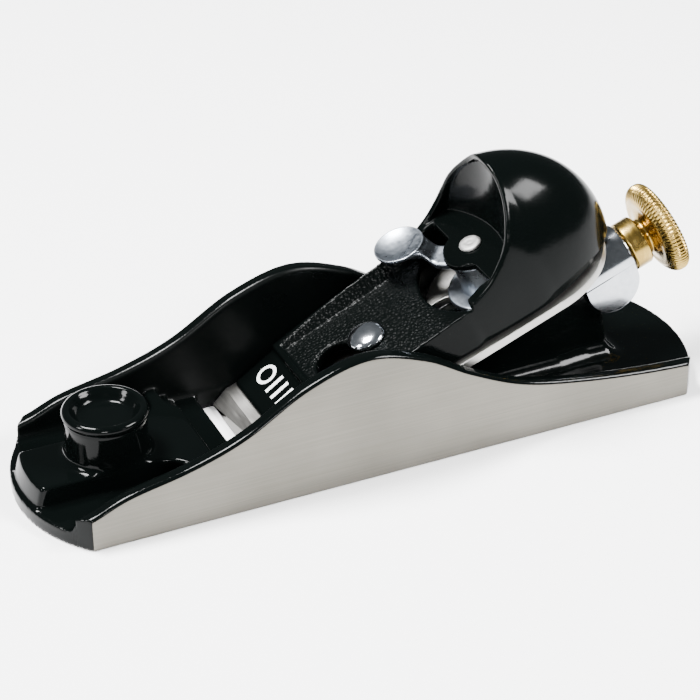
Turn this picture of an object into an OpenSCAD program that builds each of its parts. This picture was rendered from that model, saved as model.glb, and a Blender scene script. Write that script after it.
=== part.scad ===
// Block plane with a fixed mouth, a screw depth feed and a cam-locked lever cap.
// X runs from toe to heel, Y across the sole, Z up from the sole's ground face.

/* [Sole] */
// overall length of the sole
sole_l = 180.8; // [150:0.1:200]
// width over the ground sides
sole_w = 50.8; // [45:0.1:60]
// depth of the toe's curve
toe_sag = 10.5; // [6:0.1:14]
// depth of the heel's curve
heel_sag = 9.2; // [5:0.1:12]
// floor thickness in front of the mouth
floor_t = 3.8; // [3:0.1:5]
// floor thickness at the heel
heel_t = 5; // [4:0.1:6]
// thickness of each side cheek
cheek_t = 3.8; // [3:0.1:5]
// height of the raised toe platform
deck_h = 9.4; // [8:0.1:11]
// half width of the toe platform
deck_hw = 9; // [7:0.1:11]

/* [Finger rest] */
// distance of the finger rest from the toe
rest_from_toe = 23.5; // [20:0.5:30]
// radius over the rolled rim
rest_r = 10.6; // [9:0.1:12]
// height of the rim over the ground face
rest_top = 22.3; // [18:0.1:26]

/* [Bed and blade] */
// angle of the bed to the sole
bed_angle = 21.5; // [12:0.5:25]
// distance from the toe to where the bed meets the sole's face
bed_from_toe = 56.6; // [50:0.1:65]
// blade width
blade_w = 41.3; // [35:0.1:42]
// blade thickness
blade_t = 2.2; // [1.8:0.1:3.2]
// how far the cutting edge is drawn back up the bed
edge_back = 2.5; // [2.5:0.1:4]
// blade length along the bed
blade_l = 105.4; // [100:0.1:112]
// grinding angle of the bevel
bevel_angle = 25; // [20:1:35]

/* [Lever cap] */
// half width of the cap
cap_hw = 19.2; // [17:0.1:20]
// radius of the palm hood seen from the side
hood_r = 32.4; // [28:0.1:34]
// distance of the hood's middle along the bed
hood_u = 78.3; // [74:0.1:82]
// height of the hood's middle over the bed
hood_h = 6.15; // [4:0.05:8]
// top face of the shelf the lever is riveted to
shelf_h = 16.6; // [15:0.1:18]

/* [Adjuster] */
// depth of the feed screw's axis below the bed
feed_drop = 10.6; // [10:0.1:12]
// radius of the feed screw
feed_r = 3; // [2.5:0.1:3.5]
// radius of the knurled disc
knob_r = 12.6; // [11:0.1:12.8]
// number of knurls around the disc
knurls = 72; // [36:1:90]
// radius of the yoke's rounded back
yoke_r = 7.4; // [7:0.1:8]

/* [Hidden] */
$fn = 96;
shift_x = -1.8;
toe_x = shift_x - 88.9;
heel_x = toe_x + sole_l;
half_w = sole_w / 2;
cheek_in = half_w - cheek_t;
toe_r = (pow(toe_sag, 2) + pow(half_w, 2)) / (2 * toe_sag);
heel_r = (pow(heel_sag, 2) + pow(half_w, 2)) / (2 * heel_sag);
rest_x = toe_x + rest_from_toe;
bed_x = toe_x + bed_from_toe;
bed_gap = 0.03;
bed_lip = bed_x + 2.6;
bed_rear = bed_x + 26;
mouth_front = toe_x + 54.6;
mouth_hw = blade_w / 2 + 0.5;
web_end = toe_x + 157.4;
web_hw = 6;
lug_r = 5.4;
lug_front = 92.6;
lug_rear = 102.6;
lug_low = -22.6;
blade_end_r = blade_w / 2;
blade_round_u = edge_back + blade_l - blade_end_r;
screw_u = 42.3;
key_u = 33.2;
rivet_u = 76.1;
yoke_front = 97.1;
yoke_rear = 112.4;
tooth_u = 99;
cap_gap = 0.1;
cap_low = blade_t + cap_gap;
lever_turn = 131;
feed_h = -feed_drop;

// top edge of the ground side: distance from the toe and height
cheek_top = [[-1, 5.2], [10, 7.6], [20, 11.5], [36, 15], [50, 20], [66, 29.2], [82, 33.5], [97, 29.4],
             [110, 21.9], [124, 15.5], [140, 11.9], [160, 9.2], [181, 7.8]];

function mix(a, b, c, d, t) = 0.5 * (2 * b + (c - a) * t + (2 * a - 5 * b + 4 * c - d) * t * t
                                     + (3 * b - a - 3 * c + d) * t * t * t);
function at(v, i) = v[max(0, min(len(v) - 1, i))];
function smooth(v, n) = [for (i = [0 : len(v) - 2]) for (k = [0 : n - 1])
    mix(at(v, i - 1), at(v, i), at(v, i + 1), at(v, i + 2), k / n)];

module bed() {
    translate([bed_x, 0, 0]) rotate([0, -bed_angle, 0]) children();
}

// a side-view shape in bed coordinates, spread evenly over a width
module across(w) {
    rotate([90, 0, 0]) translate([0, 0, -w / 2]) linear_extrude(w) children();
}

// a round bar lying along the feed axis
module along(u0, u1, r) {
    translate([u0, 0, feed_h]) rotate([0, 90, 0]) cylinder(h = u1 - u0, r = r);
}

module sole_plan() {
    intersection() {
        translate([toe_x, -half_w]) square([sole_l, sole_w]);
        union() {
            translate([toe_x + toe_r, 0]) circle(toe_r);
            translate([toe_x + toe_sag + 3, -half_w - 1]) square([sole_l, sole_w + 2]);
        }
        union() {
            translate([heel_x - heel_r, 0]) circle(heel_r);
            translate([heel_x - heel_sag - 3 - sole_l, -half_w - 1]) square([sole_l, sole_w + 2]);
        }
    }
}

module cheek_side(lift) {
    end = cheek_top[len(cheek_top) - 1];
    polygon(concat([[toe_x - 1, 0]], [for (q = smooth(cheek_top, 8)) [toe_x + q[0], q[1] + lift]],
                   [[toe_x + end[0], end[1] + lift], [toe_x + end[0], 0]]));
}

module cheek_slab(y0, y1, lift) {
    for (s = [-1, 1]) translate([0, s > 0 ? y1 : -y0, 0]) rotate([90, 0, 0])
        linear_extrude(y1 - y0) cheek_side(lift);
}

module cheeks() {
    intersection() {
        union() {
            cheek_slab(cheek_in, half_w, 0);
            cheek_slab(cheek_in, half_w - 0.3, 0.6);
            cheek_slab(cheek_in + 0.35, half_w - 0.9, 1.1);
        }
        linear_extrude(60) sole_plan();
    }
}

module toe_platform() {
    front_slope = 3.2;
    rib_l = 44;
    flare_r = 9.3;
    flare_x = toe_x + 31.2;
    cross_front = toe_x + 33.6;
    ledges = [[44, 46.6, 6.8], [46.6, 48, 5]];
    intersection() {
        linear_extrude(60) sole_plan();
        union() {
            translate([toe_x, -deck_hw, 0]) cube([rib_l, deck_hw * 2, deck_h]);
            // cross rib in front of the mouth, joined to the middle rib by hollow flares
            linear_extrude(deck_h) difference() {
                translate([cross_front, -cheek_in - 1])
                    square([toe_x + rib_l - cross_front, cheek_in * 2 + 2]);
                for (s = [-1, 1]) translate([flare_x, s * (deck_hw + flare_r)]) {
                    circle(flare_r);
                    translate([0, s > 0 ? 0 : -15]) square([flare_r, 15]);
                }
            }
            // two ledges down to the floor: front and rear from the toe, and height
            for (k = ledges) translate([toe_x + k[0], -cheek_in - 1, 0])
                cube([k[1] - k[0], cheek_in * 2 + 2, k[2]]);
        }
        rotate([90, 0, 0]) translate([0, 0, -half_w]) linear_extrude(sole_w)
            polygon([[toe_x - 1, 0], [toe_x, 0], [toe_x + front_slope - 1, deck_h],
                     [toe_x + 80, deck_h], [toe_x + 80, 0]]);
    }
}

// height of the bed's ground face over the sole at a place along X
function bed_z(x) = (x - bed_x) * tan(bed_angle) - bed_gap;

module bed_ramp() {
    rotate([90, 0, 0]) translate([0, 0, -cheek_in - 0.5]) linear_extrude(cheek_in * 2 + 1)
        polygon([[bed_lip, 0], [bed_lip, bed_z(bed_lip)], [bed_rear, bed_z(bed_rear)], [bed_rear + 5, 0]]);
}

module web() {
    start = bed_x + 24;
    // half width and height of each step of the flared foot
    foot = [[6.5, 9.2], [7.1, 8], [7.9, 6.9], [8.9, 6.1], [10, 5.6]];
    rotate([90, 0, 0]) translate([0, 0, -web_hw]) linear_extrude(web_hw * 2)
        polygon([[start, 0], [start, bed_z(start)], [web_end, bed_z(web_end)], [web_end, 0]]);
    for (k = foot) translate([start, -k[0], 0]) cube([web_end + k[0] - web_hw - start, k[0] * 2, k[1]]);
}

// room for the yoke: the web is a narrow lug between its ears, and open behind the lug
module feed_lug_trim() {
    bed() {
        difference() {
            translate([lug_front, -20, lug_low]) cube([30, 40, 40]);
            along(lug_front - 2, 125, lug_r);
            translate([lug_front - 2, -lug_r, feed_h - 14]) cube([40, lug_r * 2, 14]);
        }
        translate([lug_rear, -20, lug_low]) cube([30, 40, 40]);
    }
}

module body() {
    color("#141617") difference() {
        union() {
            linear_extrude(floor_t) sole_plan();
            intersection() {
                linear_extrude(heel_t) sole_plan();
                translate([bed_rear, -half_w, 0]) cube([sole_l, sole_w, heel_t]);
            }
            cheeks();
            toe_platform();
            bed_ramp();
            web();
        }
        translate([mouth_front, -mouth_hw, -1]) cube([bed_lip - mouth_front, mouth_hw * 2, 9]);
        bed() translate([1.5, -mouth_hw, -bed_gap]) cube([30, mouth_hw * 2, 20]);
        bed() translate([screw_u, 0, -11]) cylinder(h = 15, r = 2.5);
        bed() along(76, 125, feed_r);
        feed_lug_trim();
        translate([rest_x, 0, floor_t]) cylinder(h = deck_h, r = 3);
    }
}

module finger_rest() {
    rim = 1.3;
    wall = rest_r - 0.45;
    // radius and height of the outline from the foot's fillet up to the rim, and down into the dish
    foot = [[wall + 2.2, 0], [wall + 1.3, 0.25], [wall + 0.6, 0.75], [wall + 0.15, 1.4], [wall, 2.4]];
    dish = [[rest_r - rim, 0], [rest_r - 2.4, -0.5], [rest_r - 3.6, -1.6], [4.6, -2.5], [0, -2.8]];
    color("#16181a") translate([rest_x, 0, 0]) rotate_extrude() {
        polygon(concat([[0, deck_h]], [for (k = foot) [k[0], deck_h + k[1]]], [[wall, rest_top - 2.6]],
                       [for (k = dish) [k[0], rest_top + k[1]]]));
        translate([rest_r - rim, rest_top - rim]) circle(rim, $fn = 40);
        translate([0, floor_t + 0.4]) square([2.96, 8]);
    }
}

module blade_plan() {
    difference() {
        union() {
            translate([edge_back, -blade_w / 2]) square([blade_round_u - edge_back, blade_w]);
            translate([blade_round_u, 0]) circle(blade_end_r);
        }
        for (u = [31, 64]) translate([u, 0]) circle(5.5);
        translate([31, -5.5]) square([33, 11]);
    }
}

module blade() {
    color("#d8d6ce") bed() difference() {
        linear_extrude(blade_t) blade_plan();
        translate([edge_back, -30, 0]) rotate([0, -bevel_angle, 0]) translate([-10, 0, 0])
            cube([30, 60, 12]);
        for (k = [0 : 5]) translate([tooth_u - 9 + k * 3 - 0.9, -6, -1]) cube([1.8, 12, 1.9]);
    }
}

// opening edge of the hood from the side: distance along the bed and height over it
rim_line = [[22.5, 8.2], [40, 11], [57, 13.1], [65, 13.9], [71.5, 16.2], [76, 19.3], [79.4, 22.2], [82, 25.2],
            [84.9, 29.6], [86.3, 33.4], [86.8, 36], [86.9, 45]];

module hood_solid(in) {
    n = 24;
    a = cap_hw - in;
    r = hood_r - in;
    translate([hood_u, 0, hood_h]) rotate([90, 0, 0]) rotate_extrude()
        polygon([for (k = [0 : n]) [r * cos(90 - 180 * k / n), -a * sin(90 - 180 * k / n)]]);
}

module cap_blank() {
    front = [[10, cap_low], [10, 3.6], [10.6, 4], [22.4, 6.7]];
    intersection() {
        union() {
            across(cap_hw * 2) polygon(concat(front, rim_line, [[87, cap_low]]));
            across(cap_hw * 2) polygon([[60, cap_low], [60, 12], [hood_u, 12], [hood_u, cap_low]]);
        }
        union() {
            translate([0, -cap_hw, 0]) cube([hood_u - 8, cap_hw * 2, 20]);
            hood_solid(0);
        }
    }
    intersection() {
        hood_solid(0);
        across(60) polygon(concat([[64, cap_low], [64, 13.8]], [for (i = [3 : 11]) rim_line[i]],
                                  [[130, 45], [130, cap_low]]));
    }
}

module key_hole() {
    translate([key_u, 0, 0]) cylinder(h = 30, r = 5.7);
    translate([screw_u, 0, 0]) cylinder(h = 30, r = 3.2);
    translate([key_u, -3.2, 0]) cube([screw_u - key_u, 6.4, 30]);
}

module lever_cap() {
    panel_hw = 15.4;
    color("#15181a") bed() difference() {
        cap_blank();
        // sunk panel between the rails
        across(panel_hw * 2) polygon([[24.2, 7.3], [43, 8.5], [62, 9.5], [64, 9.6], [64, 40], [24.2, 40]]);
        // hollow under the panel
        across(panel_hw * 2 - 1) polygon([[27, 0], [27, 4.6], [42, 5.6], [56, 6.4], [56, 0]]);
        // round opening the lever's hub turns in, open to the rear as far as the shelf's wall
        translate([rivet_u, 0, 0]) cylinder(h = shelf_h - 2.4, r = 16.2);
        // open space over the panel in front of the shelf
        difference() {
            translate([58, -panel_hw, 9.5]) cube([15.2, panel_hw * 2, 40]);
            translate([rivet_u, 0, shelf_h - 2.4]) cylinder(h = 2.4, r = 7.6);
        }
        // scoop over the shelf
        intersection() {
            hood_solid(2.2);
            translate([0, 0, shelf_h]) cylinder(h = 60, r = 200);
            translate([50, 0, 27]) rotate([90, 0, 0]) translate([0, 0, -30]) cylinder(h = 60, r = 37.2);
            translate([66.6, 0, 0]) cylinder(h = 80, r = 22);
        }
        translate([rivet_u, 0, shelf_h - 3]) cylinder(h = 10, r = 2);
        key_hole();
        // hollow inside the hood, closed at the top
        intersection() {
            hood_solid(3.2);
            across(60) polygon([[92, 0], [92, 26], [120, 26], [120, 0]]);
        }
    }
}

module cap_screw() {
    seat = 8.7;
    head_r = 4.55;
    dome = 2.3;
    ball = (pow(head_r, 2) + pow(dome - 0.5, 2)) / (2 * (dome - 0.5));
    color("#c9cbcc") bed() translate([screw_u, 0, 0]) {
        translate([0, 0, -10]) cylinder(h = seat + 10.2, r = 2.45);
        translate([0, 0, seat]) cylinder(h = 0.5, r = head_r);
        intersection() {
            translate([0, 0, seat + dome - ball]) sphere(ball);
            translate([0, 0, seat + 0.5]) cylinder(h = 8, r = head_r);
        }
    }
}

module cam_lever() {
    tab_out = 20.4;
    arm_hw = 3.6;
    low = cap_low + 0.1;
    color("#cfd4dc") bed() translate([rivet_u, 0, 0]) difference() {
        union() {
            // flange that bears on the blade, and the hub over it
            rotate_extrude() polygon([[0, low], [9.8, low], [10.15, low + 0.35], [10.15, 3.8], [9.85, 4.1],
                [6.2, 4.1], [6.2, 13.2], [5.9, 13.5], [0, 13.5]]);
            rotate([0, 0, lever_turn]) {
                translate([3, -arm_hw, 11]) cube([10.6, arm_hw * 2, 2.3]);
                translate([10.8, -arm_hw, 12]) cube([2.8, arm_hw * 2, 4.3]);
                translate([11.5, -arm_hw, 15]) cube([5, arm_hw * 2, 1.3]);
                // dished thumb tab
                translate([tab_out, 0, 0]) rotate_extrude() polygon([[0, 15], [4.8, 15], [6, 15.8],
                    [6.6, 16.4], [6.6, 16.9], [6.2, 17.1], [5.6, 16.7], [4, 16.2], [2, 15.9], [0, 15.8]]);
            }
        }
        translate([0, 0, -1]) cylinder(h = 30, r = 2.05);
    }
}

module cam_rivet() {
    color("#b9b6b0") bed() translate([rivet_u, 0, 0]) {
        translate([0, 0, cap_low + 0.5]) cylinder(h = shelf_h - cap_low - 0.4, r = 1.98);
        translate([0, 0, shelf_h + 0.02]) cylinder(h = 0.6, r = 2.9);
        translate([0, 0, shelf_h + 0.6]) cylinder(h = 0.3, r1 = 2.9, r2 = 2.5);
    }
}

module cam_washer() {
    color("#9aa0a6") bed() translate([rivet_u, 0, shelf_h - 3]) difference() {
        cylinder(h = 0.5, r = 5.6);
        translate([0, 0, -1]) cylinder(h = 3, r = 2.1);
    }
}

module yoke() {
    ear_r = (yoke_rear - yoke_front) / 2;
    ear_u = yoke_front + ear_r;
    ear_h = feed_h - 3.5;
    inner = yoke_r - 1.7;
    wall = yoke_rear - 1.8;
    color("#d5d9de") bed() difference() {
        union() {
            intersection() {
                along(yoke_front, yoke_rear, yoke_r);
                translate([yoke_front, -yoke_r, feed_h]) cube([20, yoke_r * 2, yoke_r]);
            }
            translate([yoke_front, -yoke_r, ear_h]) cube([ear_r * 2, yoke_r * 2, feed_h - ear_h]);
            translate([ear_u, yoke_r, ear_h]) rotate([90, 0, 0]) cylinder(h = yoke_r * 2, r = ear_r);
            translate([tooth_u - 0.7, -4.5, feed_h + yoke_r - 1]) cube([1.4, 9, feed_drop - yoke_r + 1.7]);
        }
        along(yoke_front - 1, wall, inner);
        translate([yoke_front - 1, -inner, feed_h - 20]) cube([wall - yoke_front + 1, inner * 2, 20]);
        along(wall - 1, yoke_rear + 1, feed_r + 0.75);
        translate([wall - 1, -inner, feed_h - 20]) cube([5, inner * 2, 20 - yoke_r]);
    }
}

module depth_knob() {
    face = 121;
    back = 125.6;
    seat = yoke_rear + 1;
    color("#c59a4a") bed() translate([0, 0, feed_h]) rotate([0, 90, 0]) difference() {
        rotate_extrude() polygon([[0, yoke_rear + 0.1], [4.4, yoke_rear + 0.1], [4.4, seat], [6.2, seat],
            [6.65, seat + 0.4], [6.65, seat + 4.6], [6.2, seat + 5], [4.9, seat + 5.4], [4.7, seat + 6],
            [5, seat + 6.6], [6.2, seat + 7.2], [9, seat + 7.4], [knob_r - 1.4, face - 0.3],
            [knob_r - 0.5, face + 0.3], [knob_r - 0.05, face + 1.2], [knob_r - 0.05, back - 1.2],
            [knob_r - 0.5, back - 0.3], [knob_r - 1.4, back], [7, back + 0.2], [6, back - 0.4],
            [0, back - 0.6]]);
        translate([0, 0, yoke_rear - 1]) cylinder(h = 8, r = feed_r - 0.05);
        for (k = [0 : knurls - 1]) rotate([0, 0, 360 * k / knurls]) translate([knob_r + 0.1, 0, face - 1])
            cylinder(h = 8, r = 0.36, $fn = 4);
    }
}

module depth_stud() {
    color("#b08d4a") bed() along(82, yoke_rear + 6.9, feed_r - 0.05);
}

module stud_clip() {
    color("#8d9196") bed() translate([yoke_rear - 3, 0, feed_h]) rotate([0, 90, 0]) difference() {
        cylinder(h = 1, r = 4.9);
        translate([0, 0, -1]) cylinder(h = 3, r = feed_r - 0.05);
    }
}

body();
finger_rest();
blade();
lever_cap();
cap_screw();
cam_lever();
cam_rivet();
cam_washer();
yoke();
depth_knob();
depth_stud();
stud_clip();
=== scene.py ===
"""The looks of the block plane: castings with soft edges, turned brass, plated steel, ground iron."""
import math

import bpy
import numpy as np
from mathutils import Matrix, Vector


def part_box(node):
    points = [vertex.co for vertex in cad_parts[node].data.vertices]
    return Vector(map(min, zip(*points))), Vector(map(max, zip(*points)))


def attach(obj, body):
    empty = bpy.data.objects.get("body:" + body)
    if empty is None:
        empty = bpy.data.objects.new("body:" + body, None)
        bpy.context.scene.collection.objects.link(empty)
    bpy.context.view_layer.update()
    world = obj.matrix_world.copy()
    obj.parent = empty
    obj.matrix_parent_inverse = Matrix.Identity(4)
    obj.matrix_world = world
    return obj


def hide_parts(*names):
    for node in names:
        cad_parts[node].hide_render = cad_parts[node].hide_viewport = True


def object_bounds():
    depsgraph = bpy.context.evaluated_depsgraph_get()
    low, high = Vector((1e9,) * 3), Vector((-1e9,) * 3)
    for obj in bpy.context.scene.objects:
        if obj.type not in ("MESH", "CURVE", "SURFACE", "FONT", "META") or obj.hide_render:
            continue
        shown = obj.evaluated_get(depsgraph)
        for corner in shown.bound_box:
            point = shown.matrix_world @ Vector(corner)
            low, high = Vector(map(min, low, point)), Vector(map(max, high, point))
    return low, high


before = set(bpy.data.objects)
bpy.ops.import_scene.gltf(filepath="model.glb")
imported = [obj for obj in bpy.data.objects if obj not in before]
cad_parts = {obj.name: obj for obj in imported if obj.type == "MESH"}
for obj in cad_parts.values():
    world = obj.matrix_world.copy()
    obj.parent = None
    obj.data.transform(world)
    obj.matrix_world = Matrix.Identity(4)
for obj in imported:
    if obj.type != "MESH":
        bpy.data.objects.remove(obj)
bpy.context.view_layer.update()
MM = 0.001

# ---------------------------------------------------------------- sizes, in millimetres

# along the plane (x), across it (y) and up (z): the body casting
body_low, body_high = (np.array(c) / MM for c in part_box("body"))
TOE, HEEL = body_low[0], body_high[0]
HALF_W = body_high[1]
CHEEK_T = 3.8
CHEEK_IN = HALF_W - CHEEK_T
FLOOR_T = 3.8
HEEL_T = 5.0
TOE_SAG, HEEL_SAG = 10.5, 9.2
TOE_R = (TOE_SAG**2 + HALF_W**2) / (2 * TOE_SAG)
HEEL_R = (HEEL_SAG**2 + HALF_W**2) / (2 * HEEL_SAG)
DECK_H = 9.4
DECK_HW = 9.0
DECK_REAR = TOE + 44
REST_X = TOE + 23.5
REST_R = 10.6
REST_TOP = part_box("finger_rest")[1][2] / MM
REST_NECK = REST_TOP - 3.4
BED_X = TOE + 56.6
BED_ANGLE = math.radians(21.5)
BED_LIP, BED_REAR = BED_X + 2.6, BED_X + 27
MOUTH_FRONT = TOE + 54.6
MOUTH_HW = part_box("blade")[1][1] / MM + 0.5

# along the bed (u) and over it (h): the feed screw, the web that it turns in, and the yoke on it
FEED_H = -10.6
FEED_R = 3.0
WEB_FRONT, WEB_END = BED_X + 20, TOE + 157.4
WEB_HW = 6.0
LUG_R = 5.4
LUG_FRONT, LUG_REAR, LUG_LOW = 92.6, 102.6, -22.6
YOKE_FRONT, YOKE_REAR, YOKE_R, YOKE_T = 97.1, 112.4, 7.4, 1.7
KNOB_R = 12.55
KNURLS = 72

# along the bed and over it: the lever cap, its screw and its lever
CAP_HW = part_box("lever_cap")[1][1] / MM
CAP_LOW = 2.3
HOOD_U, HOOD_H, HOOD_R = 78.3, 6.15, 32.4
SHELF_H, SHELF_T = 16.6, 2.4
SCREW_U, KEY_U, RIVET_U = 42.3, 33.2, 76.1
LEVER_TURN = math.radians(131)

# a distance well inside any of the solids
DEEP = -50

# side view of a cheek's top edge: distance from the toe and height
CHEEK_TOP = [(-1, 5.2), (10, 7.6), (20, 11.5), (36, 15), (50, 20), (66, 29.2), (82, 33.5), (97, 29.4),
             (110, 21.9), (124, 15.5), (140, 11.9), (160, 9.2), (181, 7.8)]
# side view of the lever cap's upper edge: distance along the bed and height over it
CAP_EDGE = [(10, CAP_LOW), (10, 3.5), (10.6, 4), (22.3, 6.7), (22.6, 8.2), (40, 11), (57, 13.1), (65, 14.4),
            (71.5, 17), (75.8, 20.1), (79, 23.3), (81.6, 26.8), (84.6, 30.8), (86.3, 34), (86.8, 36.4),
            (86.9, 45), (130, 45), (130, CAP_LOW)]


def along_curve(points, steps=10):
    """A smooth curve through points, as an array of places."""
    p = np.array([points[0], *points, points[-1]], float)
    t = np.linspace(0, 1, steps, endpoint=False)[:, None]
    spans = []
    for a, b, c, d in zip(p, p[1:], p[2:], p[3:]):
        bend = (2 * a - 5 * b + 4 * c - d) * t**2 + (3 * b - a - 3 * c + d) * t**3
        spans.append(0.5 * (2 * b + (c - a) * t + bend))
    return np.vstack([*spans, p[-1:]])


# ---------------------------------------------------------------- solids as distance fields

def join_round(a, b, r):
    """Two solids together, with a fillet of radius r where they meet."""
    return np.maximum(r, np.minimum(a, b)) - np.hypot(np.maximum(r - a, 0), np.maximum(r - b, 0))


def both_round(a, b, r):
    """Where two solids overlap, with their common edge rounded to radius r."""
    return np.minimum(-r, np.maximum(a, b)) + np.hypot(np.maximum(r + a, 0), np.maximum(r + b, 0))


def cut_round(a, b, r):
    """Solid a less solid b, with the cut's edge rounded."""
    return both_round(a, -b, r)


def slab(value, low, high):
    """Between two planes."""
    return np.maximum(low - value, value - high)


def outline_field(points, u, h):
    """Distance to a closed outline in the (u, h) plane, negative inside."""
    best = np.full(np.broadcast(u, h).shape, 1e9)
    inside = np.zeros(best.shape, bool)
    for (ax, ay), (bx, by) in zip(points, points[1:] + points[:1]):
        ex, ey = bx - ax, by - ay
        px, py = u - ax, h - ay
        t = np.clip((px * ex + py * ey) / (ex * ex + ey * ey + 1e-12), 0, 1)
        best = np.minimum(best, np.hypot(px - t * ex, py - t * ey))
        crosses = (h >= ay) != (h >= by)
        if ey:
            inside ^= crosses & (u < ax + ex * (h - ay) / ey)
    return np.where(inside, -best, best)


def surface_net(field, low, high, step):
    """Vertices and quads along the zero level of field(x, y, z): one vertex in each cell it crosses."""
    axes = [np.arange(a, b + step, step) for a, b in zip(low, high)]
    d = field(*np.meshgrid(*axes, indexing="ij", sparse=True)).astype(np.float32)
    cells = np.array(d.shape) - 1
    sums = np.zeros((int(cells.prod()), 3), np.float32)
    count = np.zeros(int(cells.prod()), np.float32)
    quads = []
    for axis in range(3):
        u, v = (axis + 1) % 3, (axis + 2) % 3
        first = np.take(d, range(d.shape[axis] - 1), axis)
        second = np.take(d, range(1, d.shape[axis]), axis)
        edge = np.argwhere((first < 0) != (second < 0))
        d0, d1 = first[tuple(edge.T)], second[tuple(edge.T)]
        point = edge.astype(np.float32)
        point[:, axis] += d0 / (d0 - d1)
        edge = edge[(edge[:, u] > 0) & (edge[:, v] > 0) & (edge[:, u] < cells[u]) & (edge[:, v] < cells[v])]
        loop = []
        for du, dv in ((1, 1), (0, 1), (0, 0), (1, 0)):
            cell = edge.copy()
            cell[:, u] -= du
            cell[:, v] -= dv
            loop.append(np.ravel_multi_index(tuple(cell.T), tuple(cells)))
        if len(edge) != len(point):
            raise ValueError("the grid is too small for its solid")
        for flat in loop:
            count += np.bincount(flat, minlength=len(count)).astype(np.float32)
            for k in range(3):
                sums[:, k] += np.bincount(flat, weights=point[:, k], minlength=len(count))
        loop = np.stack(loop, 1)
        loop[d0 > 0] = loop[d0 > 0][:, ::-1]
        quads.append(loop)
    used = np.flatnonzero(count)
    number = np.full(len(count), -1, np.int64)
    number[used] = np.arange(len(used))
    verts = np.array(low) + sums[used] / count[used, None] * step
    return verts, number[np.vstack(quads)]


# ---------------------------------------------------------------- mesh objects

def add_mesh(name, verts, faces, smooth=True):
    """A mesh object from vertices in millimetres in the row's frame."""
    mesh = bpy.data.meshes.new(name)
    verts = np.asarray(verts, float) * MM
    faces = np.asarray(faces)
    mesh.vertices.add(len(verts))
    mesh.vertices.foreach_set("co", verts.ravel())
    mesh.loops.add(faces.size)
    mesh.loops.foreach_set("vertex_index", faces.ravel())
    mesh.polygons.add(len(faces))
    mesh.polygons.foreach_set("loop_start", np.arange(len(faces)) * faces.shape[1])
    mesh.polygons.foreach_set("use_smooth", np.full(len(faces), smooth))
    mesh.update(calc_edges=True)
    mesh.validate()
    piece = bpy.data.objects.new(name, mesh)
    bpy.context.scene.collection.objects.link(piece)
    return piece


def from_bed(points):
    """Bed coordinates (along the bed, across, height over it) to the row's frame, in millimetres."""
    u, y, h = np.asarray(points, float).T
    c, s = math.cos(BED_ANGLE), math.sin(BED_ANGLE)
    return np.stack([BED_X + u * c - h * s, y, u * s + h * c], 1)


def lathe(name, profile, place, turns=128, wave=None):
    """A turned piece. profile is (height, radius) pairs, and wave(angle, height, radius) is added to the
    radius. place maps local (x, y, height) to the row's frame."""
    profile = np.array(profile, float)
    angle = np.linspace(0, 2 * math.pi, turns, endpoint=False)
    z = np.repeat(profile[:, 0], turns)
    r = np.repeat(profile[:, 1], turns)
    a = np.tile(angle, len(profile))
    if wave is not None:
        r = r + wave(a, z, r)
    verts = place(np.stack([r * np.cos(a), r * np.sin(a), z], 1))
    row = np.arange(turns)
    nxt = (row + 1) % turns
    faces = np.vstack([np.stack([row, nxt, nxt + turns, row + turns], 1) + k * turns
                       for k in range(len(profile) - 1)])
    return add_mesh(name, verts, faces)


def rounded(corners, radius, steps=5):
    """A profile with its inner corners rounded, ready for lathe()."""
    p = np.array(corners, float)
    out = [p[0]]
    for a, b, c in zip(p, p[1:], p[2:]):
        to_a, to_c = a - b, c - b
        la, lc = np.linalg.norm(to_a), np.linalg.norm(to_c)
        r = min(radius, la * 0.45, lc * 0.45)
        start, end = b + to_a / la * r, b + to_c / lc * r
        for t in np.linspace(0, 1, steps):
            out.append((1 - t) ** 2 * start + 2 * t * (1 - t) * b + t * t * end)
    out.append(p[-1])
    return np.array(out)


def on_feed_axis(p):
    """Local (x, y, distance along the feed screw) to the row's frame."""
    return from_bed(np.stack([p[:, 2], p[:, 1], FEED_H + p[:, 0]], 1))


def on_bed_at(u):
    """Local (x, y, height over the bed) about a point of the bed to the row's frame."""
    return lambda p: from_bed(np.stack([u + p[:, 0], p[:, 1], p[:, 2]], 1))


# ---------------------------------------------------------------- the body casting

def plan_field(x, y):
    """The sole's outline seen from above: straight sides and a shallow arc at each end."""
    toe = np.hypot(x - TOE - TOE_R, y) - TOE_R
    heel = np.hypot(x - HEEL + HEEL_R, y) - HEEL_R
    end = 16
    ends = np.where(x < TOE + end, toe, np.where(x > HEEL - end, heel, DEEP))
    return np.maximum(np.abs(y) - HALF_W, ends)


def cheek_field(x, y, z):
    """The two side walls. Rounding the crest lowers it, so its line starts higher by crest_loss."""
    crest_loss, draft = 1.1, 0.012
    line = along_curve(CHEEK_TOP)
    top = np.interp(x, TOE + line[:, 0], line[:, 1]) + crest_loss
    steep = np.gradient(top.ravel(), x.ravel()).reshape(x.shape)
    over = (z - top) / np.sqrt(1 + steep**2)
    outer = both_round(over, np.abs(y) - HALF_W, 1.1)
    return both_round(outer, CHEEK_IN - np.abs(y) - draft * (z - FLOOR_T), 1.3)


def toe_platform_field(x, y, z):
    """A middle rib, flared into a cross rib, with a leaning front face along the toe's arc."""
    draft, lean, cross_t = 0.06, 0.28, 3.4
    rib = np.maximum(np.abs(y) - DECK_HW - draft * (DECK_H - z), x - DECK_REAR)
    flared = join_round(rib, slab(x, DECK_REAR - cross_t, DECK_REAR), 8.5)
    deck = both_round(flared, z - DECK_H, 0.7)
    return both_round(deck, (plan_field(x, y) + lean * z) / math.hypot(1, lean), 0.9)


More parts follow.
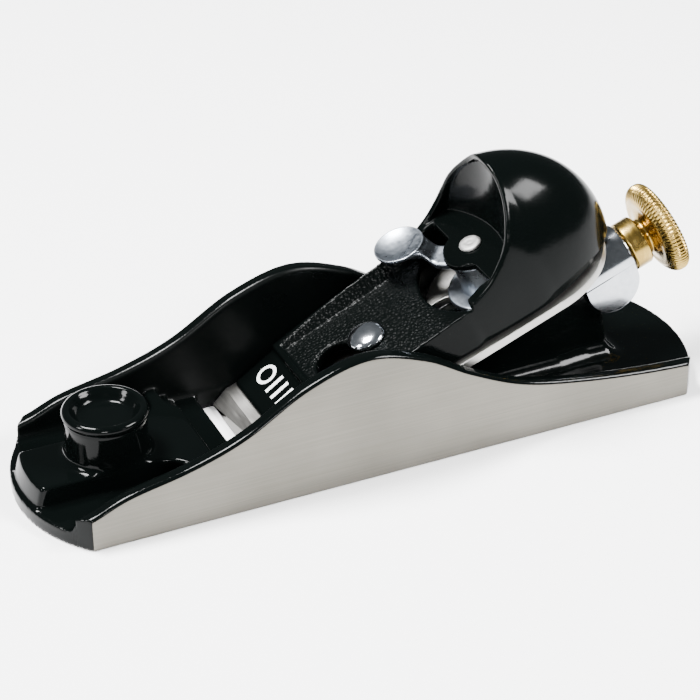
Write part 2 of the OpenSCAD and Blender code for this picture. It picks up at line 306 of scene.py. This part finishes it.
def web_field(x, y, z, u, h):
    """The upright web under the blade, with the feed screw's lug at its rear. It is thinner between
    the yoke's ears, over the stretch from 84 to 92 mm along the bed."""
    draft, rear_lean = 0.03, 0.11
    spread = draft * (20 - z)
    in_yoke = np.clip((u - 84) / 8, 0, 1) * np.clip((h + 36) / (LUG_LOW + 36), 0, 1)
    web = np.maximum(h, slab(x, WEB_FRONT, WEB_END + rear_lean * (18 - z)))
    half_w = WEB_HW + spread - in_yoke * (WEB_HW - LUG_R + spread)
    web = both_round(web, np.abs(y) - half_w, 0.8)
    lug = np.where(h > FEED_H, np.hypot(h - FEED_H, y) - LUG_R, DEEP)
    behind = np.minimum(u - LUG_REAR, h - LUG_LOW)
    return np.maximum(web, np.where(u > LUG_FRONT, np.maximum(lug, behind), DEEP))


def body_field(x, y, z):
    """The whole body casting."""
    ay = np.abs(y)
    s, c = math.sin(BED_ANGLE), math.cos(BED_ANGLE)
    u, h = (x - BED_X) * c + z * s, z * c - (x - BED_X) * s
    # floor, a little thicker behind the mouth
    floor_top = np.where(x > BED_REAR - 1, HEEL_T, FLOOR_T)
    solid = join_round(z - floor_top + 0 * y, cheek_field(x, y, z), 2.6)
    solid = join_round(solid, toe_platform_field(x, y, z), 1.1)
    # two low steps between the platform and the mouth
    for reach, top, fillet in ((2.6, 6.8, 0.5), (4.0, 5.0, 0.4)):
        step = np.maximum(slab(x, DECK_REAR - 4, DECK_REAR + reach), z - top)
        solid = join_round(solid, step, fillet)
    # stem of the finger rest
    stem_r = REST_R - 0.45
    stem = np.maximum(np.hypot(x - REST_X, y) - stem_r, z - REST_NECK)
    solid = join_round(solid, stem, 2.2)
    # bed behind the mouth, and the web with a foot that widens towards the heel
    ramp = np.maximum(np.maximum(h, slab(x, BED_LIP, BED_REAR)), ay - CHEEK_IN - 1)
    solid = join_round(solid, ramp, 1.0)
    foot_r = np.interp(x, [BED_X + 40, BED_X + 70], [3.4, 5.0]) + 0 * z
    solid = join_round(solid, web_field(x, y, z, u, h), foot_r)
    # mouth, clearance over the bed for the blade, and the feed screw's bore
    mouth_top, room_front, room_rear, bore_front = 9, 1.5, 31.5, 76
    mouth = np.maximum(slab(x, MOUTH_FRONT, BED_LIP), np.maximum(ay - MOUTH_HW, z - mouth_top))
    solid = cut_round(solid, mouth, 0.25)
    room = np.maximum(np.maximum(-h, slab(u, room_front, room_rear)), ay - MOUTH_HW)
    solid = np.maximum(solid, -room)
    bore = np.maximum(np.hypot(h - FEED_H, y) - FEED_R, bore_front - u)
    solid = np.maximum(solid, -bore)
    return np.maximum(np.maximum(solid, plan_field(x, y)), -z)


# ---------------------------------------------------------------- the lever cap, its lever and the yoke


def hood_field(u, y, h, inset=0.0):
    """The palm hood: a ball flattened across. From 88 mm forward it grows fuller, over 10 mm."""
    half_w, r = CAP_HW - inset, HOOD_R - inset
    fuller = np.clip((88 - u) / 10, 0, 1)
    power = 2 + 0.9 * fuller * fuller * (3 - 2 * fuller)
    rho = np.maximum(np.hypot(u - HOOD_U, h - HOOD_H) / r, 1e-3)
    side = np.maximum(np.abs(y) / half_w, 1e-3)
    size = (rho**power + side**power) ** (1 / power)
    slope = np.hypot(rho ** (power - 1) / r, side ** (power - 1) / half_w) * size ** (1 - power)
    return (size - 1) / np.maximum(slope, 1e-4)


def cap_field(u, y, h):
    """The lever cap, cut from a low plate and the hood."""
    ay = np.abs(y)
    curved = along_curve(CAP_EDGE[4:15], 6).tolist()
    side_view = outline_field([*map(list, CAP_EDGE[:4]), *curved, *map(list, CAP_EDGE[15:])], u, h)
    draft, plate_rear = 0.1, 66
    plate = both_round(ay - CAP_HW + draft * (h - 3), u - plate_rear + 0 * h, 3.0)
    blank = join_round(plate, hood_field(u, y, h), 1.5)
    blank = both_round(blank, side_view + 0 * y, 0.7)
    # sunk panel with sloping sides
    panel_front, panel_hw, side_slope = 24.2, 14.8, 0.9
    panel_h = np.interp(u, [24, 43, 62, 80], [7.3, 8.5, 9.5, 10.4])
    panel_side = (ay - panel_hw - side_slope * (h - panel_h)) / 1.35
    sunk = np.maximum(np.maximum(panel_h - h, panel_side), slab(u, panel_front, plate_rear))
    solid = cut_round(blank, sunk, 0.35)
    # round room for the lever under the shelf, then the open front with the shelf's nose left in
    cam_room, nose_r, open_hw, open_low = 16.2, 7.6, 15.4, 9.5
    hub = np.hypot(u - RIVET_U, y)
    solid = cut_round(solid, np.maximum(hub - cam_room, h - SHELF_H + SHELF_T), 0.6)
    nose = np.maximum(slab(h, SHELF_H - SHELF_T, SHELF_H), hub - nose_r)
    opening = np.maximum(np.maximum(slab(u, 56, 73.2), open_low - h), ay - open_hw)
    solid = cut_round(solid, cut_round(opening, nose, 0.6), 0.5)
    # finger scoop over the shelf, with a wall that leans and curves
    hood_wall = 1.9
    wall = u - (83.2 + 0.26 * (h - SHELF_H) - y**2 / 62)
    scoop = np.maximum(np.maximum(wall, SHELF_H - h), hood_field(u, y, h, hood_wall))
    solid = cut_round(solid, np.maximum(scoop, 60 - u), 0.7)
    # keyhole
    head_r, shank_r = 5.7, 3.2
    key = np.minimum(np.hypot(u - KEY_U, y) - head_r, np.hypot(u - SCREW_U, y) - shank_r)
    key = np.minimum(key, np.maximum(slab(u, KEY_U, SCREW_U), ay - shank_r))
    solid = cut_round(solid, key + 0 * h, 0.8)
    # hollows underneath, and the rivet's hole
    belly = np.maximum(np.maximum(slab(u, 27, 56), ay - 14.9), h - 4.6 - 0.05 * (u - 27))
    solid = np.maximum(solid, -belly)
    hollow = np.maximum(hood_field(u, y, h, 3.2), np.maximum(92 - u, h - 26))
    solid = np.maximum(solid, -hollow)
    rivet = np.maximum(hub - 2.0, 10 - h)
    return np.maximum(np.maximum(solid, -rivet), CAP_LOW - h)


def lever_field(u, y, h):
    """Cam lever about its rivet: flange, hub and cam face, then an arm that rises to a dished tab."""
    flange_r, hub_r, hub_top = 10.15, 6.2, 13.5
    r = np.hypot(u, y)
    flange = both_round(r - flange_r, slab(h, CAP_LOW + 0.1, 4.1), 0.35)
    hub = both_round(r - hub_r, slab(h, 3, hub_top), 0.4)
    solid = join_round(flange, hub, 0.5)
    cam = np.maximum(np.hypot(u - 6.5, y + 3) - 7.6, slab(h, 3, 5.0))
    solid = join_round(solid, both_round(cam, r - flange_r + 0.05, 0.2), 0.25)
    # a is the distance out along the arm, and b the distance from its middle line
    a = u * math.cos(LEVER_TURN) + y * math.sin(LEVER_TURN)
    b = np.abs(y * math.cos(LEVER_TURN) - u * math.sin(LEVER_TURN))
    middle = 12.15 + 3.4 / (1 + np.exp(-(a - 12.2) * 1.5))
    arm_hw = 3.7 - 0.9 * np.exp(-((a - 12.5) / 2.2) ** 2)
    arm = both_round(np.maximum(np.abs(h - middle) - 1.1, slab(a, 2, 17)), b - arm_hw, 0.7)
    solid = join_round(solid, arm, 0.8)
    tab_r, tab_at = 6.65, 20.4
    out = np.hypot(a - tab_at, b)
    dish = 15.75 + 1.25 * np.clip(out / (tab_r + 0.05), 0, 1) ** 2.6
    tab = both_round(out - tab_r, np.maximum(h - dish, 14.9 + 0.02 * out**2 - h), 0.35)
    solid = join_round(solid, tab, 0.7)
    bore_r = 2.05
    return np.maximum(solid, bore_r - r)


def yoke_field(u, y, h):
    """The yoke: half a tube over the feed screw, two flat ears down from it, and the blade's tooth."""
    ay = np.abs(y)
    ear_r = (YOKE_REAR - YOKE_FRONT) / 2
    ear_u, ear_h = YOKE_FRONT + ear_r, FEED_H - 3.5
    rho = np.hypot(h - FEED_H, y)
    length = slab(u, YOKE_FRONT, YOKE_REAR)
    back = np.where(h > FEED_H - 0.3, rho - YOKE_R, ay - YOKE_R + 0.35)
    ear = np.where(h < ear_h, np.hypot(u - ear_u, h - ear_h) - ear_r, np.abs(u - ear_u) - ear_r)
    solid = both_round(back, np.maximum(ear, length), 0.35)
    inner = np.where(h > FEED_H, rho, ay) - YOKE_R + YOKE_T
    solid = cut_round(solid, np.maximum(inner, u - YOKE_REAR + 1.8), 0.3)
    between_ears = np.maximum(ay - YOKE_R + YOKE_T, h - FEED_H + YOKE_R)
    solid = np.maximum(solid, -between_ears + 0 * u)
    solid = np.maximum(solid, FEED_R + 0.75 - rho)
    tooth = np.maximum(ay - 4.5, slab(h, FEED_H + YOKE_R - 1, 0.7))
    return np.minimum(solid, np.maximum(slab(u, 98.3, 99.7), tooth))


def cast_body():
    step = 0.42
    verts, faces = surface_net(body_field, (TOE - 2, -HALF_W - 2, -2), (HEEL + 2, HALF_W + 2, 37), step)
    return add_mesh("iron_casting", verts, faces)


def bed_solid(name, field, low, high, step, origin=0.0):
    """A mesh from a field in bed coordinates, with u counted from origin."""
    verts, faces = surface_net(field, low, high, step * (1))
    verts[:, 0] += origin
    return add_mesh(name, from_bed(verts), faces)


def cast_cap():
    return bed_solid("cap_casting", cap_field, (8, -21, 0.5), (113, 21, 41), 0.4)


def thumb_lever():
    return bed_solid("thumb_lever", lever_field, (-30, -12, 0.5), (12, 25, 19), 0.22, RIVET_U)


def feed_yoke():
    return bed_solid("feed_yoke", yoke_field, (95, -9, -24), (115, 9, 3), 0.2)


# ---------------------------------------------------------------- turned pieces

def rest_cap():
    """The finger rest's rolled rim and dished top."""
    wall, rim, dish_r, dish_depth = REST_R - 0.43, 1.3, 7.55, 2.75
    bead = [(REST_TOP - rim + rim * math.sin(t), REST_R - rim + rim * math.cos(t))
            for t in np.linspace(-0.95, 2.1, 24)]
    dish = []
    for r in np.linspace(8.4, 0.02, 26):
        crown = 0.03 * (1 - r / 7.6)
        dish.append((REST_TOP - 3.0 + dish_depth / (1 + math.exp((dish_r - r) * 2.3)) - crown, r))
    profile = [(REST_TOP - 8, wall), (REST_NECK, wall), (REST_TOP - 2.7, wall + 0.02), *bead, *dish]
    return lathe("finger_rest_rim", profile,
                 lambda p: np.stack([REST_X + p[:, 0], p[:, 1], p[:, 2]], 1), 160)


def screw_head():
    """The cap screw: a shank with a bevelled end, and a domed head with a short straight rim."""
    seat, r, dome, rim, shank_r, end = 8.7, 5.0, 2.3, 0.45, 2.45, -10
    curve = [(seat + rim + (dome - rim) * math.cos(t), r * math.sin(t) ** 0.9)
             for t in np.linspace(math.pi / 2, 0.01, 18)]
    profile = [(end, 0.01), (end, shank_r - 0.35), (end + 0.6, shank_r), (seat, shank_r), (seat, r - 0.3),
               (seat + 0.1, r - 0.05), *curve]
    return lathe("cap_screw_head", profile, on_bed_at(SCREW_U), 96)


def rivet_head():
    """The lever's rivet: a plain shank, and a low head with a slight dimple."""
    end, low, shank_r = CAP_LOW + 0.5, SHELF_H + 0.02, 1.98
    profile = [(end, 0.01), (end, shank_r), (low, shank_r), (low, 2.85), (low + 0.25, 2.9),
               (low + 0.6, 2.75), (low + 0.82, 2.3), (low + 0.86, 1.5), (low + 0.8, 0.8), (low + 0.86, 0.01)]
    return lathe("lever_rivet", rounded(profile, 0.1, 3), on_bed_at(RIVET_U), 72)


def knurled(angle, along, radius):
    """Straight knurls over the disc's rim and its two shoulders."""
    width, fade, depth = 2.9, 1.2, 0.4
    ridge = 0.5 + 0.5 * np.cos(angle * KNURLS)
    return np.clip((radius - KNOB_R + width) / fade, 0, 1) * (ridge - 1) * depth


def brass_knob():
    """A boss in the yoke, then collar, waist, flare, knurled disc and dished rear face."""
    seat, face, back = YOKE_REAR + 0.6, 120.6, 125.6
    bore, boss_r, collar_r, waist_r, dish_r = FEED_R - 0.05, 4.4, 6.65, 4.75, 6.2
    corners = [(seat - 0.9, bore), (seat - 0.9, boss_r), (seat, boss_r), (seat, collar_r - 0.4),
               (seat + 0.35, collar_r), (seat + 4.6, collar_r), (seat + 5.0, collar_r - 0.45),
               (seat + 5.3, waist_r + 0.35), (seat + 6.0, waist_r), (seat + 6.7, waist_r + 0.55),
               (seat + 7.3, 7.2), (face - 0.4, 9.2), (face + 0.2, KNOB_R - 1.9),
               (face + 1.1, KNOB_R - 0.6), (face + 2.3, KNOB_R), (back - 1.1, KNOB_R),
               (back - 0.2, KNOB_R - 0.7), (back, KNOB_R - 1.7), (back + 0.1, dish_r + 2),
               (back - 0.7, dish_r), (back - 0.9, 0.02)]
    return lathe("brass_feed_knob", rounded(corners, 0.7, 5), on_feed_axis, KNURLS * 8, knurled)


def threaded_stud():
    """The feed screw's shank, with its thread."""
    pitch, depth, start, end = 1.0, 0.5, 82, YOKE_REAR + 6.9
    length = np.arange(start, end, 0.1)

    def thread(angle, along, radius):
        phase = (along / pitch - angle / (2 * math.pi)) % 1
        return np.where(radius > 1, -depth * np.abs(2 * phase - 1), 0)

    profile = [(start, 0.01), *[(z, FEED_R - 0.05) for z in length], (length[-1], 0.01)]
    return lathe("feed_stud", profile, on_feed_axis, 48, thread)


def ring(name, outer, inner, low, high, place, edge=0.15):
    """A flat ring with bevelled outer edges."""
    profile = [(low, inner), (low, outer - edge), (low + edge, outer), (high - edge, outer),
               (high, outer - edge), (high, inner), (low, inner)]
    return lathe(name, profile, place, 64)


def thrust_washer():
    low = SHELF_H - 3
    return ring("thrust_washer", 5.6, 2.1, low, low + 0.5, on_bed_at(RIVET_U))


def stud_ring():
    low = YOKE_REAR - 3
    return ring("stud_ring", 4.9, 2.95, low, low + 1, on_feed_axis)


# ---------------------------------------------------------------- the blade and the mark

def ground_blade():
    """The blade, with fine edges all round."""
    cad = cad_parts["blade"]
    piece = cad.copy()
    piece.data = cad.data.copy()
    piece.name = "plane_iron"
    bpy.context.scene.collection.objects.link(piece)
    weld = piece.modifiers.new("weld", "WELD")
    weld.merge_threshold = 1e-6
    bevel = piece.modifiers.new("edges", "BEVEL")
    bevel.width = 0.12 * MM
    bevel.segments = 2
    bevel.angle_limit = math.radians(40)
    return piece


def cap_mark():
    """A plain printed mark: a ring and four bars, a hair over the front plate."""
    middle, above = 17.3, 0.03
    ring_at, ring_in, ring_out = 12.4, 2.0, 2.9
    first_bar, pitch, half_length, half_width = 7.4, 3.2, 2.8, 0.55
    (low_u, low_h), (high_u, high_h) = CAP_EDGE[2:4]
    slope = (high_h - low_h) / (high_u - low_u)

    def on_plate(along, across):
        return (middle + along, across, low_h + slope * (middle + along - low_u) + above)

    verts, faces = [], []

    def patch(rows):
        base, n = len(verts), len(rows[0])
        for row in rows:
            verts.extend(row)
        for i in range(len(rows) - 1):
            for k in range(base + i * n, base + i * n + n - 1):
                faces.append((k, k + 1, k + n + 1, k + n))

    turn = np.linspace(0, 2 * math.pi, 49)
    patch([[on_plate(r * math.cos(t), ring_at + r * math.sin(t)) for t in turn]
           for r in (ring_in, ring_out)])
    for k in range(4):
        y = first_bar - k * pitch
        patch([[on_plate(a, y + b) for a in (-half_length, half_length)]
               for b in (-half_width, half_width)])
    return add_mesh("cap_mark", from_bed(verts), faces, smooth=False)


# ---------------------------------------------------------------- materials

def new_material(name, base, metallic, roughness):
    """A material and its shader, ready for detail."""
    mat = bpy.data.materials.new(name)
    mat.use_nodes = True
    shader = mat.node_tree.nodes["Principled BSDF"]
    shader.inputs["Base Color"].default_value = (*base, 1)
    shader.inputs["Metallic"].default_value = metallic
    shader.inputs["Roughness"].default_value = roughness
    return mat, shader


class Nodes:
    """Small helper for wiring procedural detail into a material."""

    def __init__(self, mat, shader):
        self.tree, self.shader = mat.node_tree, shader
        self.place = self.add("ShaderNodeTexCoord").outputs["Object"]

    def add(self, kind, **values):
        node = self.tree.nodes.new(kind)
        for key, value in values.items():
            if key in node.inputs:
                node.inputs[key].default_value = value
            else:
                setattr(node, key, value)
        return node

    def link(self, out, into):
        self.tree.links.new(out, into)

    def stretched(self, scale, turn=0.0):
        node = self.add("ShaderNodeMapping")
        node.inputs["Scale"].default_value = scale
        node.inputs["Rotation"].default_value = (0, turn, 0)
        self.link(self.place, node.inputs["Vector"])
        return node.outputs["Vector"]

    def noise(self, scale, detail=3.0, vector=None, rough=0.5):
        node = self.add("ShaderNodeTexNoise", Scale=scale, Detail=detail, Roughness=rough)
        self.link(vector or self.place, node.inputs["Vector"])
        return node.outputs["Fac"]

    def ramp(self, value, stops):
        node = self.add("ShaderNodeValToRGB")
        while len(node.color_ramp.elements) < len(stops):
            node.color_ramp.elements.new(0.5)
        for element, (at, colour) in zip(node.color_ramp.elements, stops):
            element.position = at
            element.color = (*colour, 1)
        self.link(value, node.inputs["Fac"])
        return node.outputs["Color"]

    def math(self, kind, a, b=None, clamp=False):
        node = self.add("ShaderNodeMath", operation=kind, use_clamp=clamp)
        for k, value in enumerate((a, b)):
            if isinstance(value, (int, float)):
                node.inputs[k].default_value = value
            elif value is not None:
                self.link(value, node.inputs[k])
        return node.outputs["Value"]

    def span(self, value, low, high, to_low=0.0, to_high=1.0):
        node = self.add("ShaderNodeMapRange")
        for key, number in (("From Min", low), ("From Max", high), ("To Min", to_low), ("To Max", to_high)):
            node.inputs[key].default_value = number
        self.link(value, node.inputs["Value"])
        return node.outputs["Result"]

    def blend(self, mask, a, b):
        node = self.add("ShaderNodeMix", data_type="RGBA")
        self.link(mask, node.inputs[0])
        for value, socket in ((a, node.inputs[6]), (b, node.inputs[7])):
            if isinstance(value, tuple):
                socket.default_value = (*value, 1)
            else:
                self.link(value, socket)
        return node.outputs[2]

    def bump(self, height, strength, distance, after=None):
        node = self.add("ShaderNodeBump", Strength=strength, Distance=distance)
        self.link(height, node.inputs["Height"])
        if after is not None:
            self.link(after, node.inputs["Normal"])
        self.link(node.outputs["Normal"], self.shader.inputs["Normal"])
        return node.outputs["Normal"]

    def axis(self, name, vector=None):
        node = self.add("ShaderNodeSeparateXYZ")
        self.link(vector or self.place, node.inputs[0])
        return node.outputs[name]


ENAMEL = (0.0009, 0.0014, 0.0013)
GROUND_DARK, GROUND, GROUND_LIGHT = (0.098, 0.093, 0.079), (0.13, 0.123, 0.106), (0.165, 0.157, 0.137)
BRASS_DARK, BRASS, BRASS_LIGHT = (0.20, 0.125, 0.028), (0.33, 0.22, 0.055), (0.46, 0.32, 0.105)


def enamel_detail(n, roughness=0.075):
    """Thick glossy enamel over cast iron: slow waves, fine peel and a few specks of dust."""
    waves = n.noise(90, 2)
    peel = n.noise(900, 2)
    specks = n.span(n.noise(2600, 1), 0.70, 0.76)
    first = n.bump(waves, 0.22, 0.0006)
    n.bump(peel, 0.05, 0.0002, after=first)
    rough = n.span(n.noise(60, 4), 0.3, 0.7, roughness, roughness + 0.05)
    return n.math("ADD", rough, n.math("MULTIPLY", specks, 0.12), True)


def body_material():
    """Black enamel, with the sides and the sole ground back to bare iron."""
    mat, shader = new_material("enamelled_body", ENAMEL, 0.0, 0.08)
    n = Nodes(mat, shader)
    rough = enamel_detail(n)
    edge = n.math("ABSOLUTE", n.axis("Y"))
    side = n.span(edge, (HALF_W - 0.09) * MM, (HALF_W - 0.05) * MM)
    under = n.span(n.axis("Z"), 0.12 * MM, 0.06 * MM)
    bare = n.math("MAXIMUM", side, under)
    grain = n.noise(420, 6, n.stretched((0.06, 1, 9)), 0.65)
    cloud = n.noise(38, 3)
    tone = n.math("ADD", n.math("MULTIPLY", grain, 0.55), n.math("MULTIPLY", cloud, 0.45))
    iron = n.ramp(tone, [(0.30, GROUND_DARK), (0.52, GROUND), (0.74, GROUND_LIGHT)])
    n.link(n.blend(bare, ENAMEL, iron), shader.inputs["Base Color"])
    n.link(n.math("MULTIPLY", bare, 0.6), shader.inputs["Metallic"])
    iron_rough = n.span(grain, 0.3, 0.7, 0.36, 0.5)
    # the cheeks' inner faces are left duller than the rest
    inner = n.math("MULTIPLY", n.span(edge, (CHEEK_IN - 0.9) * MM, (CHEEK_IN - 0.3) * MM),
                   n.span(edge, (CHEEK_IN + 0.7) * MM, (CHEEK_IN + 0.3) * MM))
    rough = n.math("ADD", rough, n.math("MULTIPLY", inner, n.span(cloud, 0.35, 0.6, 0.16, 0.34)), True)
    mixed = n.add("ShaderNodeMix", data_type="FLOAT")
    n.link(bare, mixed.inputs[0])
    n.link(rough, mixed.inputs[2])
    n.link(iron_rough, mixed.inputs[3])
    n.link(mixed.outputs[0], shader.inputs["Roughness"])
    shader.inputs["Specular IOR Level"].default_value = 0.08
    return mat


def cap_material():
    """The same enamel, with a pebbled panel in front of the hood."""
    mat, shader = new_material("enamelled_cap", ENAMEL, 0.0, 0.08)
    n = Nodes(mat, shader)
    rough = enamel_detail(n, 0.11)
    bed = n.add("ShaderNodeMapping", vector_type="POINT")
    bed.inputs["Rotation"].default_value = (0, BED_ANGLE, 0)
    shift = n.add("ShaderNodeVectorMath", operation="SUBTRACT")
    n.link(n.place, shift.inputs[0])
    shift.inputs[1].default_value = (BED_X * MM, 0, 0)
    n.link(shift.outputs[0], bed.inputs["Vector"])
    along, height = n.axis("X", bed.outputs[0]), n.axis("Z", bed.outputs[0])
    across = n.math("ABSOLUTE", n.axis("Y", bed.outputs[0]))
    # the panel's front end, its fading rear end, its floor and its sides
    panel = n.math("MULTIPLY", n.span(along, 23.5 * MM, 25 * MM), n.span(along, 66 * MM, 58 * MM))
    panel = n.math("MULTIPLY", panel, n.span(height, 6.4 * MM, 7.0 * MM))
    panel = n.math("MULTIPLY", panel, n.span(across, 17.8 * MM, 17.2 * MM))
    cells = n.add("ShaderNodeTexVoronoi", Scale=1150.0)
    n.link(n.place, cells.inputs["Vector"])
    pebble = n.math("MULTIPLY", n.math("SUBTRACT", 0.6, cells.outputs["Distance"]), panel)
    before = shader.inputs["Normal"].links[0].from_socket
    n.bump(pebble, 0.32, 0.0006, after=before)
    worn = n.math("MULTIPLY", panel, 0.14)
    n.link(n.math("ADD", rough, worn, True), shader.inputs["Roughness"])
    shader.inputs["Specular IOR Level"].default_value = 0.05
    return mat


def steel_material(name, low, high, roughness, grain_axis=(1, 1, 1), scale=600, turn=0.0, bump=0.06):
    """Ground or plated metal between two tones. grain_axis draws its fine noise out into lines."""
    mat, shader = new_material(name, high, 1.0, roughness)
    n = Nodes(mat, shader)
    lines = n.noise(scale, 5, n.stretched(grain_axis, turn), 0.6)
    cloud = n.noise(120, 3)
    tone = n.math("ADD", n.math("MULTIPLY", lines, 0.6), n.math("MULTIPLY", cloud, 0.4))
    n.link(n.ramp(tone, [(0.32, low), (0.68, high)]), shader.inputs["Base Color"])
    n.link(n.span(tone, 0.3, 0.7, roughness * 0.8, roughness * 1.3), shader.inputs["Roughness"])
    n.bump(lines, bump, 0.0001)
    return mat


def brass_material():
    """Turned brass: fine lines round the axis, and a slow change of tone."""
    mat, shader = new_material("satin_brass", BRASS, 1.0, 0.26)
    n = Nodes(mat, shader)
    lathe_lines = n.noise(1400, 4, n.stretched((1, 0.25, 0.25), BED_ANGLE), 0.6)
    cloud = n.noise(150, 4)
    tone = n.math("ADD", n.math("MULTIPLY", lathe_lines, 0.35), n.math("MULTIPLY", cloud, 0.65))
    colour = n.ramp(tone, [(0.3, BRASS_DARK), (0.5, BRASS), (0.72, BRASS_LIGHT)])
    n.link(colour, shader.inputs["Base Color"])
    n.link(n.span(tone, 0.3, 0.7, 0.18, 0.32), shader.inputs["Roughness"])
    n.bump(lathe_lines, 0.08, 0.0001)
    return mat


def print_material():
    """White ink, a little uneven."""
    mat, shader = new_material("white_print", (0.86, 0.87, 0.86), 0.0, 0.35)
    n = Nodes(mat, shader)
    n.link(n.ramp(n.noise(2200, 3), [(0.3, (0.74, 0.75, 0.74)), (0.6, (0.88, 0.89, 0.88))]),
           shader.inputs["Base Color"])
    n.bump(n.noise(3000, 2), 0.05, 0.0001)
    return mat


def paint(piece, mat):
    piece.data.materials.clear()
    piece.data.materials.append(mat)
    return piece


# ---------------------------------------------------------------- stage

def floor_and_lights():
    """A pale floor just under the sole, five softboxes and a faint sky."""
    bpy.ops.mesh.primitive_plane_add(size=6, location=(0, 0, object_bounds()[0][2] - 0.0002))
    floor = bpy.context.object
    floor.name = "pale_floor"
    mat, shader = new_material("pale_floor", (0.93, 0.93, 0.935), 0.0, 0.55)
    n = Nodes(mat, shader)
    n.link(n.ramp(n.noise(6, 2), [(0.3, (0.925, 0.925, 0.93)), (0.7, (0.94, 0.94, 0.945))]),
           shader.inputs["Base Color"])
    floor.data.materials.append(mat)

    # place, size, watts
    softboxes = {
        "key": ((0.62, -0.42, 0.72), (0.40, 0.30), 32),
        "top": ((-0.35, 0.25, 1.0), (0.40, 0.30), 56),
        "left": ((-0.95, 0.05, 0.60), (0.20, 0.30), 13),
        "front": ((-0.50, -1.0, 0.55), (0.26, 0.16), 10),
        "low": ((0.42, -0.90, 0.36), (0.10, 0.16), 0.6),
    }
    aim = Vector((0, 0, 0.02))
    for name, (place, size, power) in softboxes.items():
        lamp = bpy.data.lights.new(name, "AREA")
        lamp.shape = "RECTANGLE"
        lamp.size, lamp.size_y = size
        lamp.energy = power
        holder = bpy.data.objects.new(name, lamp)
        bpy.context.scene.collection.objects.link(holder)
        holder.location = place
        holder.rotation_euler = (aim - Vector(place)).to_track_quat("-Z", "Y").to_euler()

    world = bpy.data.worlds.new("studio")
    bpy.context.scene.world = world
    world.use_nodes = True
    sky = world.node_tree.nodes["Background"]
    sky.inputs["Color"].default_value = (0.9, 0.96, 1.0, 1)
    sky.inputs["Strength"].default_value = 0.15


def photo_camera():
    """A long lens from the near side of the toe, looking down at the plane."""
    azimuth, rise, roll = math.radians(24.13), math.radians(31.77), math.radians(0.54)
    target = Vector(((TOE + 88.24) * MM, 0, 21.1 * MM))
    distance = 0.6412
    away = Vector((-math.sin(azimuth) * math.cos(rise), -math.cos(azimuth) * math.cos(rise), math.sin(rise)))
    data = bpy.data.cameras.new("photo")
    data.sensor_width = 36
    data.lens = 132.4
    data.clip_start, data.clip_end = 0.01, 20
    camera = bpy.data.objects.new("photo", data)
    bpy.context.scene.collection.objects.link(camera)
    camera.location = target + away * distance
    camera.rotation_euler = (target - camera.location).to_track_quat("-Z", "Y").to_euler()
    camera.rotation_euler.rotate_axis("Z", -roll)
    bpy.context.scene.camera = camera


# ---------------------------------------------------------------- build

def main():
    photo_camera()
    floor_and_lights()

    iron, cap_paint = body_material(), cap_material()
    brass, white = brass_material(), print_material()
    chrome = steel_material("bright_plate", (0.60, 0.63, 0.68), (0.76, 0.79, 0.83), 0.12,
                            scale=500, bump=0.02)
    satin = steel_material("satin_plate", (0.33, 0.35, 0.375), (0.45, 0.47, 0.495), 0.12,
                           scale=700, bump=0.02)
    brushed = steel_material("brushed_plate", (0.24, 0.265, 0.30), (0.34, 0.37, 0.41), 0.3, scale=800)
    steel = steel_material("ground_steel", (0.27, 0.264, 0.25), (0.38, 0.373, 0.355), 0.36,
                           grain_axis=(22, 0.6, 22), scale=260, turn=BED_ANGLE)
    matt = steel_material("matt_rivet", (0.25, 0.247, 0.24), (0.37, 0.366, 0.355), 0.5, scale=900, bump=0.12)
    plain = steel_material("plain_steel", (0.36, 0.36, 0.37), (0.55, 0.55, 0.56), 0.35)

    def place(piece, mat, body, slot, *nodes):
        """Paint a piece, hang it on the empty of the body that it rides on, and hide the CAD nodes that it
        stands for.
        """
        paint(piece, mat)
        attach(piece, body)
        if nodes:
            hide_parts(*nodes)

    place(cast_body(), iron, "plane_body", "enamelled_iron", "body", "finger_rest")
    place(rest_cap(), iron, "plane_body", "enamelled_iron")
    place(ground_blade(), steel, "carriage", "ground_blade", "blade")
    place(cast_cap(), cap_paint, "cap", "enamelled_cap", "lever_cap")
    place(cap_mark(), white, "cap", "enamelled_cap")
    place(screw_head(), chrome, "clamp_screw", "plated_screw", "cap_screw")
    place(thumb_lever(), brushed, "lever", "plated_lever", "cam_lever")
    place(rivet_head(), matt, "cap", "plain_rivet", "cam_rivet")
    place(thrust_washer(), plain, "cap", "plain_steel", "cam_washer")
    place(feed_yoke(), satin, "carriage", "plated_yoke", "yoke")
    place(brass_knob(), brass, "feed_screw", "turned_brass", "depth_knob")
    place(threaded_stud(), plain, "feed_screw", "plain_steel", "depth_stud")
    place(stud_ring(), plain, "feed_screw", "plain_steel", "stud_clip")


main()
